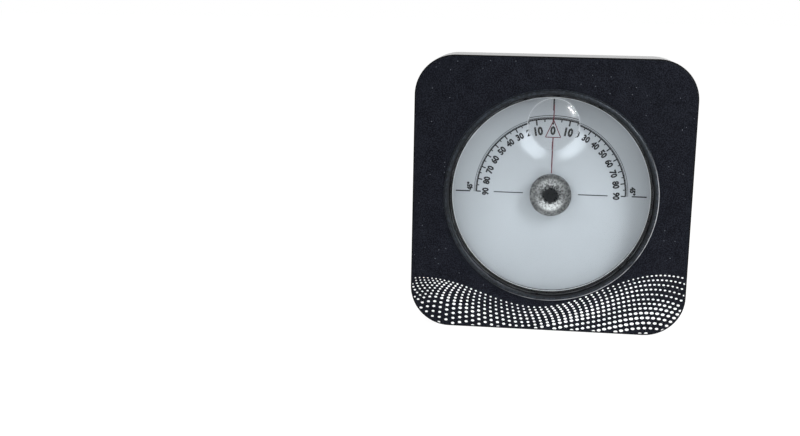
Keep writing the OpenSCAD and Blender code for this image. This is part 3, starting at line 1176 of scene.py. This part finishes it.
@dataclass
class Capsule:
    """The sealed capsule with its clear window, its bearings and the red fixed index."""

    axis: Pair = (0.0, 30.0)
    under_y: float = -4.3
    pane_r: float = 21.9
    bevel: float = 0.2
    front_y: float = -6.5
    flange_r: Pair = (21.4, 23.6)
    flange_y: Pair = (-4.7, -3.2)
    # Width of the painted glint ring under the window's edge.
    bright_w: float = 0.13
    boss_r: float = 4.5
    boss_y: float = -2.4
    bore_r: float = 1.87
    lens_at: float = 15.7
    lens_r: float = 5.45
    lens_h: float = 1.6
    lens_rings: int = 20
    root_r: float = 0.4
    root_rings: int = 6
    bright_from: int = 4
    index_gap: float = 0.005
    line_w: float = 0.22
    line_v: Pair = (19.4, 4.9)
    apex: float = 16.35
    base: float = 13.1
    half_base: float = 1.45
    side_w: float = 0.17

    def build(self, nodes: dict[str, Thing]) -> None:
        """Dresses the CAD nodes, makes the window as it is seen and prints the index under it.

        Args:
            nodes: The CAD nodes by name.
        """
        dress(nodes, {
            "capsule_lid": WINDOW, "capsule_cup": CUP, "capsule_seal": SEAL, "fill_plug": BRASS,
            "capsule_cushion": FOAM, "front_bush": BUSH, "rear_bush": BUSH, "front_jewel": RUBY,
            "rear_jewel": RUBY,
        })
        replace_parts(self.pane(), "capsule_lid")
        self.print_index()

    def lens(self) -> list[Station]:
        """Lays out the magnifier, from its middle to the small radius at its root.

        Returns:
            Its rings.
        """
        centre = (self.axis[0], self.axis[1] + self.lens_at)
        ball = (self.lens_r**2 + self.lens_h**2) / (2 * self.lens_h)
        ball_y = self.front_y - self.lens_h + ball
        root_y = self.front_y - self.root_r
        outer_r = math.sqrt((ball + self.root_r) ** 2 - (ball_y - root_y) ** 2)
        reach = math.asin(outer_r / (ball + self.root_r))
        made = []
        for at in range(self.lens_rings + 1):
            turn = reach * at / self.lens_rings
            made.append(Station(centre, ball * math.sin(turn), ball_y - ball * math.cos(turn), LENS, False))
        for at in range(1, self.root_rings):
            turn = reach * (1 - at / self.root_rings)
            radius = outer_r - self.root_r * math.sin(turn)
            # The root's last rings carry the painted highlight.
            finish = LENS if at < self.bright_from else LENS_EDGE
            made.append(Station(centre, radius, root_y + self.root_r * math.cos(turn), finish, False))
        made.append(Station(centre, outer_r, self.front_y, WINDOW))
        return made

    def pane(self) -> Thing:
        """Makes the window: pane, magnifier, flange and boss in one closed piece.

        Returns:
            The window.
        """
        inner, outer = self.flange_r
        near, far = self.flange_y
        # The chamfer carries a painted reflection line, the side wall and flange painted shade, the ring
        # under the edge a painted glint.
        rings: list[tuple[float, float, Finish]] = [
            (self.pane_r - self.bevel, self.front_y, WINDOW_EDGE),
            (self.pane_r, self.front_y + self.bevel, RIM),
            (self.pane_r, near, RIM),
            (outer, near, RIM),
            (outer, far, RIM),
            (inner, far, RIM),
            (inner, self.under_y, GLINT),
            (inner - self.bright_w, self.under_y, WINDOW),
            (self.boss_r, self.under_y, FROST),
            (self.boss_r, self.boss_y - self.bevel, FROST),
            (self.boss_r - self.bevel, self.boss_y, FROST),
            (self.bore_r, self.boss_y, FROST),
            (self.bore_r, self.under_y, FROST),
        ]
        turned = Turned()
        turned.join(self.lens() + [Station(self.axis, radius, y, finish) for radius, y, finish in rings])
        return piece("window_pane", turned.mesh, turned.finishes, Body.CASE, "clear_plastic")

    def print_index(self) -> None:
        """Prints the red line and the triangle that point at the scale."""
        ink = Printing("index_line", self.under_y + Printing.thick + self.index_gap)
        u, v = self.axis
        start, end = self.line_v
        ink.bar((u, v + start), (u, v + self.apex), self.line_w)
        ink.bar((u, v + self.base), (u, v + end), self.line_w)
        low = v + self.base
        tips = [(u, v + self.apex), (u - self.half_base, low), (u + self.half_base, low)]
        for one, two in zip(tips, tips[1:] + tips[:1]):
            ink.bar(one, two, self.side_w)
        ink.done(INK_RED, Body.CASE, "clear_plastic")


# The dial


@dataclass
class Dial:
    """The hanging dial: axle, hub, card with its black scale, and the weight."""

    axis: Pair = (0.0, 30.0)
    card_y: float = -1.8
    scale_r: float = 16.2
    scale_w: float = 0.27
    scale_span: Pair = (-0.2, 180.2)
    arc_steps: int = 120
    tick_step: int = 5
    ticks: tuple[Pair, Pair] = ((0.95, 0.26), (0.5, 0.20))
    border_r: Pair = (16.43, 16.73)
    border_w: float = 0.13
    crosses: tuple[Triple, Triple] = ((17.6, 20.8, 0.27), (6.0, 12.4, 0.20))
    figure_r: float = 14.3
    figure_height: float = 1.37
    figure_narrow: float = 0.87
    figure_weight: float = 0.095
    label_at: Pair = (17.75, 1.15)
    label_height: float = 1.08
    label_narrow: float = 0.86
    label_weight: float = 0.10

    def build(self, nodes: dict[str, Thing]) -> None:
        """Dresses the CAD nodes and prints the card.

        Args:
            nodes: The CAD nodes by name.
        """
        dress(nodes, {"arbor": AXLE, "dial_hub": NICKEL, "counterweight": BRASS, "dial_card": CARD})
        self.print_scale()
        self.print_figures()

    def at(self, radius: float, degrees: float) -> Pair:
        """Returns a point by its radius and its angle, anticlockwise from the right."""
        turn = math.radians(degrees)
        return self.axis[0] + radius * math.cos(turn), self.axis[1] + radius * math.sin(turn)

    def print_scale(self) -> None:
        """Prints the arcs, the ticks and the cross lines."""
        ink = Printing("dial_scale", self.card_y)
        ink.arc(self.axis, self.scale_r, self.scale_w, *self.scale_span, self.arc_steps)
        for step, angle in enumerate(range(0, 181, self.tick_step)):
            length, width = self.ticks[step % 2]
            ink.bar(self.at(self.scale_r, angle), self.at(self.scale_r - length, angle), width)
        for angle in (0, 90, 180):
            for start, end, width in self.crosses:
                ink.bar(self.at(start, angle), self.at(end, angle), width)
        ink.done(INK_BLACK, Body.DIAL, "card_plastic")
        border = Printing("dial_border", self.card_y)
        for radius in self.border_r:
            border.arc(self.axis, radius, self.border_w, *self.scale_span, self.arc_steps)
        border.done(INK_GREY, Body.DIAL, "card_plastic")

    def print_figures(self) -> None:
        """Prints the degrees from 0 at the top to 90 at each side, and the half-way marks."""
        ink = Printing("dial_figures", self.card_y)
        for degrees in range(-90, 91, 10):
            place = self.at(self.figure_r, 90 - degrees)
            ink.words(str(abs(degrees)), place, self.figure_height, -degrees, self.figure_narrow,
                      self.figure_weight)
        for side in (-1, 1):
            place = (self.axis[0] + side * self.label_at[0], self.axis[1] + self.label_at[1])
            ink.words("45°", place, self.label_height, -90 * side, self.label_narrow, self.label_weight)
        ink.done(INK_BLACK, Body.DIAL, "card_plastic")


# The studio


@dataclass(frozen=True)
class Lamp:
    """A soft lamp: an area lamp of a size, or a narrow spot that lights a patch of that size."""

    name: str
    place: Triple
    size: tuple[float, float]
    power: float
    along: Triple = (0.0, 0.0, 1.0)
    aim: Triple = (0.0, 0.0, 30.0)
    mirrored: bool = False
    lit: bool = True
    bulb_r: float = 0.3

    def area(self) -> None:
        """Makes an area lamp, whose second size runs along its direction."""
        data = bpy.data.lights.new(self.name, "AREA")
        data.shape = "RECTANGLE"
        data.size, data.size_y = self.size[0] * MM, self.size[1] * MM
        self._stand(data, (1.0, 1.0))

    def spot(self) -> None:
        """Makes a spot lamp with a soft edge, whose patch is longer along its direction."""
        data = bpy.data.lights.new(self.name, "SPOT")
        throw = (Vector(self.aim) - Vector(self.place)).length
        data.spot_size = 2 * math.atan(self.size[1] / 2 / throw)
        data.spot_blend = 1.0
        data.shadow_soft_size = self.bulb_r * MM
        self._stand(data, (self.size[0] / self.size[1], 1.0))

    def _stand(self, data: bpy.types.Light, flat: Pair) -> None:
        """Puts the lamp in its place.

        Args:
            data: The lamp's data.
            flat: Scale across and along its direction.
        """
        data.energy = self.power
        lamp = linked(bpy.data.objects.new(self.name, data))
        ahead = (Vector(self.aim) - Vector(self.place)).normalized()
        across = ahead.cross(Vector(self.along)).normalized()
        along = across.cross(ahead)
        lamp.matrix_world = stance(self.place, across * flat[0], along * flat[1], ahead)
        lamp.visible_camera = False
        lamp.visible_transmission = False
        lamp.visible_glossy = self.mirrored
        lamp.visible_diffuse = self.lit
        LOG.info("%s: %.2f W", self.name, self.power)


@dataclass
class Studio:
    """Camera, lamps, world and floor."""

    eye: Triple = (-4.746, -244.314, 71.094)
    forward: Triple = (-0.114465, 0.974499, -0.193)
    upward: Triple = (-0.04, 0.189598, 0.981047)
    lens: float = 49.78
    sensor: float = 36.0
    clip: float = 5.0
    floor_r: float = 4000.0
    floor_corners: int = 64
    floor_drop: float = 0.05
    fill: float = 0.45
    lamps: tuple[Lamp, ...] = (
        Lamp("lamp_left", (-420.0, -420.0, 420.0), (380.0, 260.0), 1.4),
        Lamp("lamp_right", (254.0, -232.0, 259.0), (110.0, 240.0), 1.2),
        Lamp("strip_card", (273.0, -234.0, 220.0), (24.0, 170.0), 1.3, (0.643, 0.0, -0.766), mirrored=True,
             lit=False),
        Lamp("lamp_behind", (300.0, 460.0, 420.0), (320.0, 320.0), 2.4, mirrored=True),
    )
    sparks: tuple[Lamp, ...] = (
        Lamp("low_glow", (-60.0, -420.0, 80.0), (72.0, 66.0), 2.3, aim=(0.0, -1.8, 12.0)),
        Lamp("lens_glow_left", (-30.0, -90.0, 74.0), (5.4, 8.0), 0.46, (0.7, 0.0, -0.7), (-4.4, -1.8, 40.8)),
        Lamp("lens_glow_right", (30.0, -90.0, 74.0), (5.4, 8.4), 0.39, (0.7, 0.0, 0.7), (4.4, -1.8, 40.8)),
    )

    def place_camera(self) -> None:
        """Sets the camera where the photograph was taken from."""
        data = bpy.data.cameras.new("camera")
        data.lens = self.lens
        data.sensor_width = self.sensor
        data.sensor_fit = "HORIZONTAL"
        data.clip_start = self.clip * MM
        camera = linked(bpy.data.objects.new("camera", data))
        ahead = Vector(self.forward).normalized()
        right = ahead.cross(Vector(self.upward)).normalized()
        camera.matrix_world = stance(self.eye, right, right.cross(ahead), ahead)
        bpy.context.scene.camera = camera
        bpy.context.scene.view_settings.view_transform = "Standard"

    def light(self) -> None:
        """Makes the lamps, the world and the floor."""
        for lamp in self.lamps:
            lamp.area()
        for lamp in self.sparks:
            lamp.spot()
        self.make_world()
        self.make_floor()

    def make_world(self) -> None:
        """Makes an even pale surrounding, white where it is seen or mirrored."""
        world = bpy.data.worlds.new("studio")
        shader = Shader(world)
        strength = shader.node("MapRange", {"Value": shader.seen(), "To Min": self.fill, "To Max": 1.0})
        glow = shader.node("Background", {"Color": WHITE, "Strength": strength.outputs["Result"]})
        shader.node("OutputWorld", {"Surface": glow.outputs[0]})
        bpy.context.scene.world = world

    def make_floor(self) -> None:
        """Makes the wide round floor."""
        flat = bmesh.new()
        bmesh.ops.create_circle(flat, cap_ends=True, segments=self.floor_corners, radius=self.floor_r * MM)
        floor = solid("floor", flat)
        floor.location.z = -self.floor_drop * MM
        FLOOR.on(floor)


def main() -> None:
    """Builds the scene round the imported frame."""
    logging.basicConfig(level=logging.INFO, format="%(message)s")
    studio = Studio()
    studio.place_camera()
    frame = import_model()
    nodes = frame["nodes"]
    Block().build(nodes)
    Capsule().build(nodes)
    Dial().build(nodes)
    studio.light()


if __name__ == "__main__":
    main()
